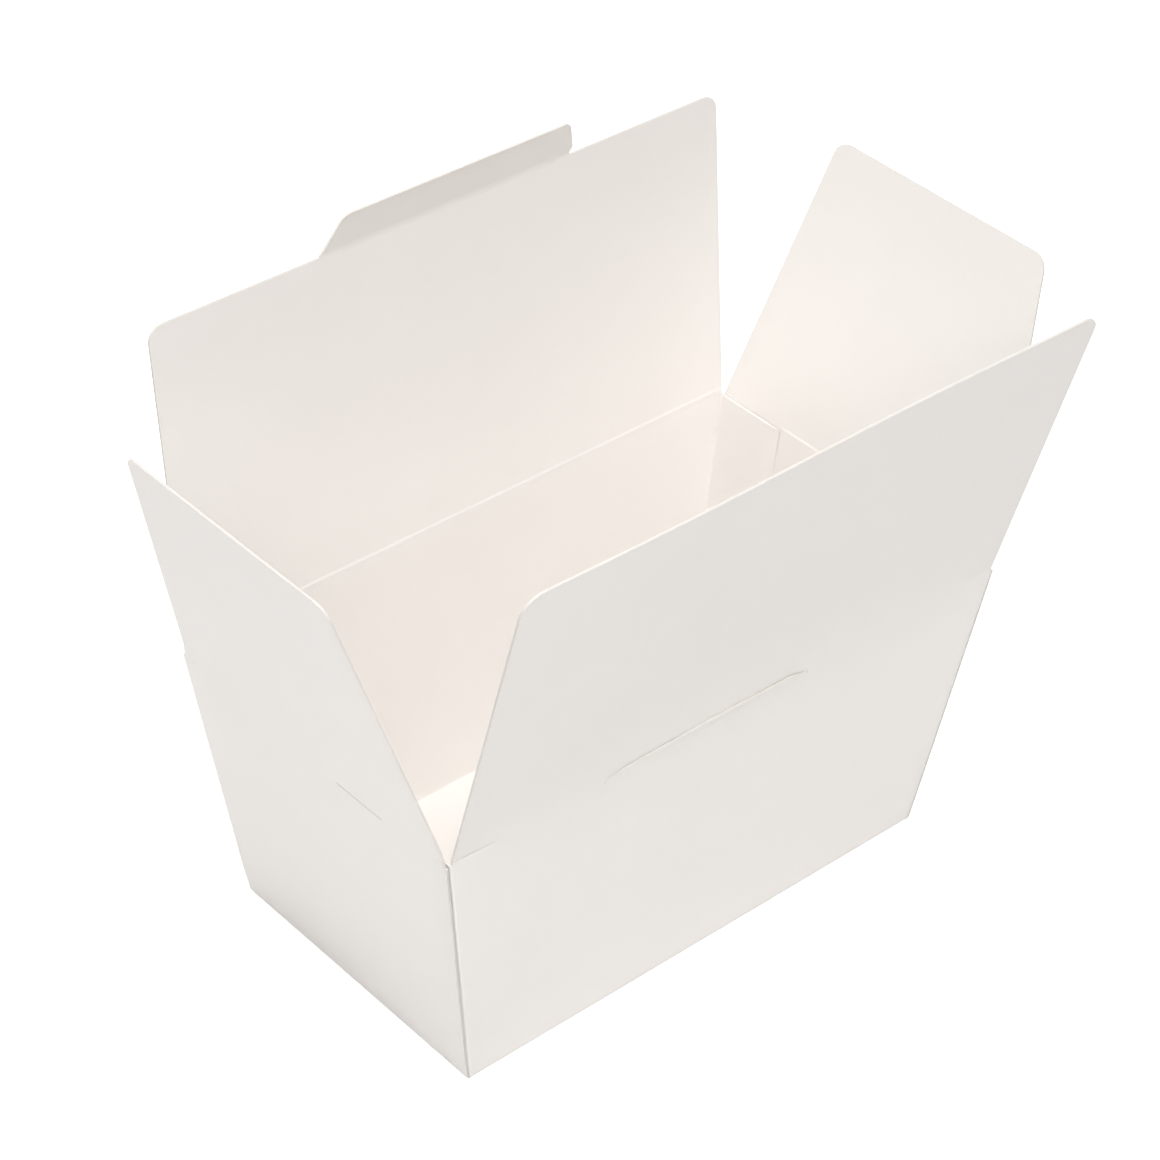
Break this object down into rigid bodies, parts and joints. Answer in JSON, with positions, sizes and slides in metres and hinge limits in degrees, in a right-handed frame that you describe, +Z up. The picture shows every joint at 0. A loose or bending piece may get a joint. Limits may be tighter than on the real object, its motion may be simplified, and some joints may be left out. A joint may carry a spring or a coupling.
{
  "type": "candy box",
  "caption": "Plain white folding candy box: a tapered card carton, open, with hinged end, front and back flaps and a tuck tongue for the slit on its front crease.",
  "frame": {"origin": "middle of the outer face of the base", "axes": "+X along the long side, +Y from the front wall with the slit to the back wall, +Z up out of the box"},
  "size_m": [0.1749, 0.1036, 0.1403],
  "materials": {
    "card": "matt clay-coated white"
  },
  "bodies": {
    "carton_body": {"carton_body": "card"},
    "front_flap": {"front_flap": "card"},
    "back_flap": {"back_flap": "card"},
    "tuck_tongue": {"tuck_tongue": "card"},
    "left_end_flap": {"left_end_flap": "card"},
    "right_end_flap": {"right_end_flap": "card"}
  },
  "joints": [
    {"name": "front_flap_crease", "type": "hinge", "parent": "carton_body", "child": "front_flap", "pos_m": [0, -0.03893, 0.06405], "axis": [-1, 0, 0], "range_deg": [-76, 104]},
    {"name": "back_flap_crease", "type": "hinge", "parent": "carton_body", "child": "back_flap", "pos_m": [0, 0.03897, 0.0646], "axis": [1, 0, 0], "range_deg": [-83, 97]},
    {"name": "left_flap_crease", "type": "hinge", "parent": "carton_body", "child": "left_end_flap", "pos_m": [-0.06959, 0, 0.0635], "axis": [0, 1, 0], "range_deg": [-72.8, 107.2]},
    {"name": "right_flap_crease", "type": "hinge", "parent": "carton_body", "child": "right_end_flap", "pos_m": [0.06959, 0, 0.0635], "axis": [0, -1, 0], "range_deg": [-74.2, 105.8]},
    {"name": "tongue_crease", "type": "hinge", "parent": "back_flap", "child": "tuck_tongue", "pos_m": [0, 0.0472, 0.13158], "axis": [-1, 0, 0], "range_deg": [-76, 14]}
  ]
}
